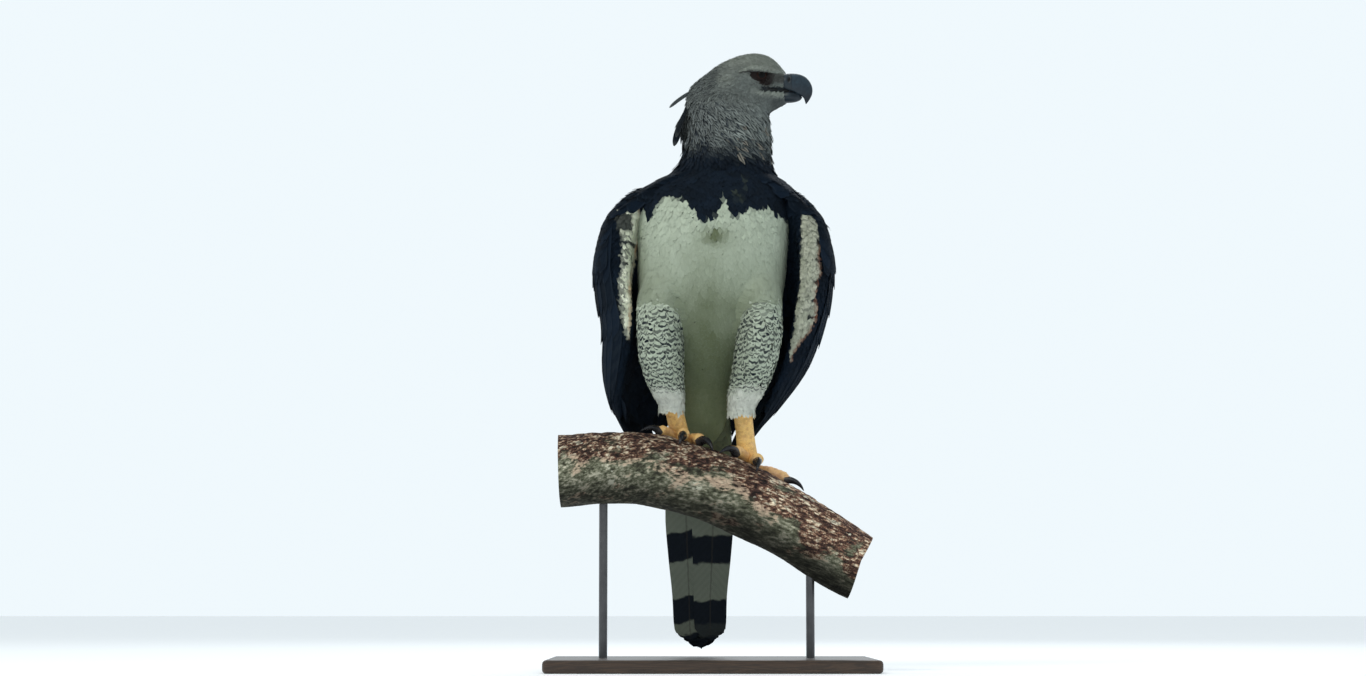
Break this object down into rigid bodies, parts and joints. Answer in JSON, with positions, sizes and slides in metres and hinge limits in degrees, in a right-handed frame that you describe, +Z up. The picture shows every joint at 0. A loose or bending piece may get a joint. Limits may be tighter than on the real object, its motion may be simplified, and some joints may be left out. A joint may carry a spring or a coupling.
{
  "type": "perched eagle display model",
  "caption": "Still life-size harpy eagle, upright with its head turned aside, gripping a cut length of branch on a flat display stand.",
  "frame": {"origin": "centre of the underside of the stand's base plate", "axes": "+Z up, -Y the way the bird's breast faces, +X to the bird's left, the way its bill points"},
  "size_m": [0.5, 0.34, 0.9483],
  "materials": {
    "head_grey": "soft grey feathers",
    "slate_black": "slate-black feathers",
    "white": "white feathers",
    "barred": "white feathers with fine dark bars",
    "tail_grey": "grey feathers with broad black bands",
    "horn": "dark horn, satin",
    "leg_yellow": "scaled skin, dull",
    "eye": "dark glass, glossy",
    "bark": "rough bark with lichen",
    "stand_wood": "dark stained, satin",
    "stand_steel": "dark, satin"
  },
  "bodies": {
    "root": {"head": "head_grey", "bill_upper": "horn", "bill_lower": "horn", "eye_left": "eye", "eye_right": "eye", "neck": "slate_black", "torso": "white", "wing_left": "slate_black", "wing_right": "slate_black", "tail": "tail_grey", "thigh_left": "barred", "thigh_right": "barred", "shank_left": "leg_yellow", "shank_right": "leg_yellow", "foot_left": "leg_yellow", "foot_right": "leg_yellow", "claw_left_inner": "horn", "claw_left_middle": "horn", "claw_left_outer": "horn", "claw_left_hind": "horn", "claw_right_inner": "horn", "claw_right_middle": "horn", "claw_right_outer": "horn", "claw_right_hind": "horn", "perch_branch": "bark", "stand_base": "stand_wood", "stand_rod_left": "stand_steel", "stand_rod_right": "stand_steel"}
  },
  "joints": []
}
